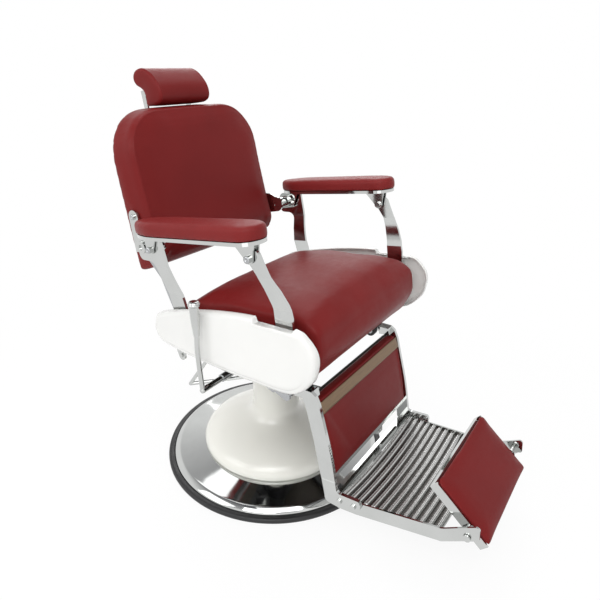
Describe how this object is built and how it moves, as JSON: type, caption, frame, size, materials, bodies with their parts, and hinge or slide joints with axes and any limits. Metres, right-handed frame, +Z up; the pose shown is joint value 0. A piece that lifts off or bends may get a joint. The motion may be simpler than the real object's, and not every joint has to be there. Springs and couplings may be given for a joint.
{
  "type": "barber chair",
  "caption": "Hydraulic barber chair with round base, swivel seat, reclining back, height-adjustable headrest, padded arms, linked calf rest and a flip-up foot pad.",
  "frame": {"origin": "on the floor at the centre of the round base, under the swivel axis", "axes": "+Z up, the chair faces -Y, the sitter's left side is +X"},
  "size_m": [0.7, 1.16, 1.1377],
  "materials": {
    "black_rubber": "matte",
    "chrome": "polished",
    "cream_enamel": "gloss",
    "white_enamel": "gloss",
    "steel": "satin",
    "dark_steel": "satin",
    "wine_leather": "semi-gloss",
    "board": "matte",
    "bronze_trim": "satin",
    "aluminium": "satin",
    "arm_vinyl": "semi-gloss"
  },
  "bodies": {
    "base": {"floor_ring": "black_rubber", "base_plate": "chrome", "bell_cover": "cream_enamel", "pump_cylinder": "steel", "guide_bush": "chrome", "base_bolts": "steel"},
    "ram": {"ram_tube": "chrome", "ram_piston": "steel", "swivel_spindle": "steel"},
    "seat": {"thrust_bearing": "steel", "swivel_hub": "dark_steel", "seat_frame": "dark_steel", "seat_board": "board", "seat_cushion": "wine_leather", "skirt_right": "white_enamel", "skirt_left": "white_enamel", "front_post_right": "chrome", "front_post_left": "chrome", "rear_post_right": "chrome", "rear_post_left": "chrome", "arm_plate_right": "chrome", "arm_plate_left": "chrome", "arm_pad_right": "arm_vinyl", "arm_pad_left": "arm_vinyl", "arm_bolts": "chrome", "post_bolts": "steel", "skirt_lugs": "chrome", "back_pivot_bolts": "chrome", "lever_sleeve": "steel", "recline_cylinder": "dark_steel", "release_lugs": "dark_steel"},
    "back": {"back_cushion": "wine_leather", "back_board": "wine_leather", "back_bracket_right": "chrome", "back_bracket_left": "chrome", "back_screws": "chrome", "headrest_guide": "chrome"},
    "headrest": {"headrest_stem": "chrome", "headrest_pad": "wine_leather"},
    "leg_rest": {"leg_rail_right": "chrome", "leg_rail_left": "chrome", "leg_hinge_shaft": "steel", "calf_pad": "wine_leather", "calf_board": "board", "calf_trim": "bronze_trim", "calf_lower_trim": "chrome", "calf_lugs": "chrome", "leg_lower_bar": "chrome", "foot_bar_right": "chrome", "foot_bar_left": "chrome", "foot_bolts": "chrome", "foot_plate": "aluminium"},
    "flip_rest": {"flip_tray": "chrome", "flip_pad": "wine_leather", "flip_pivots": "chrome"},
    "link": {"link_bar": "steel"},
    "piston_rod": {"cylinder_rod": "chrome"},
    "pump": {"pump_lever": "chrome", "pump_grip": "chrome"},
    "release": {"recline_lever": "chrome"}
  },
  "joints": [
    {"name": "lift", "type": "slide", "parent": "base", "child": "ram", "axis": [0, 0, 1], "range_m": [0, 0.15]},
    {"name": "swivel", "type": "hinge", "parent": "ram", "child": "seat", "pos_m": [0, 0, 0.385], "axis": [0, 0, 1], "continuous": true},
    {"name": "recline", "type": "hinge", "parent": "seat", "child": "back", "pos_m": [0, 0.18771, 0.72825], "axis": [-1, 0, 0], "range_deg": [0, 50]},
    {"name": "headrest_slide", "type": "slide", "parent": "back", "child": "headrest", "axis": [0, 0.2019, 0.9794], "range_m": [0, 0.1]},
    {"name": "leg_swing", "type": "hinge", "parent": "seat", "child": "leg_rest", "pos_m": [0, -0.22699, 0.41612], "axis": [-1, 0, 0], "range_deg": [0, 50]},
    {"name": "link_pivot", "type": "hinge", "parent": "back", "child": "link", "pos_m": [-0.262, 0.22102, 0.74147], "axis": [-1, 0, 0], "range_deg": [-50, 0]},
    {"name": "cylinder_stroke", "type": "slide", "parent": "seat", "child": "piston_rod", "axis": [0, 0.989, -0.1478], "range_m": [0, 0.0385]},
    {"name": "foot_flip", "type": "hinge", "parent": "leg_rest", "child": "flip_rest", "pos_m": [0, -0.68855, 0.18278], "axis": [1, 0, 0], "range_deg": [0, 100]},
    {"name": "pump_stroke", "type": "hinge", "parent": "seat", "child": "pump", "pos_m": [-0.2, -0.01742, 0.39087], "axis": [1, 0, 0], "range_deg": [0, 30], "stiffness_Nm_per_rad": 20, "springref_deg": -5.73},
    {"name": "recline_release", "type": "hinge", "parent": "seat", "child": "release", "pos_m": [-0.262, 0.02924, 0.43243], "axis": [0.764, -0.6426, 0.0582], "range_deg": [0, 12], "stiffness_Nm_per_rad": 6, "springref_deg": -5.73}
  ],
  "couplings": [
    {"joint": "leg_swing", "follows": "recline", "ratio": 1},
    {"joint": "link_pivot", "follows": "recline", "ratio": -1},
    {"joint": "cylinder_stroke", "follows": "recline", "m_per_rad": 0.043586}
  ]
}
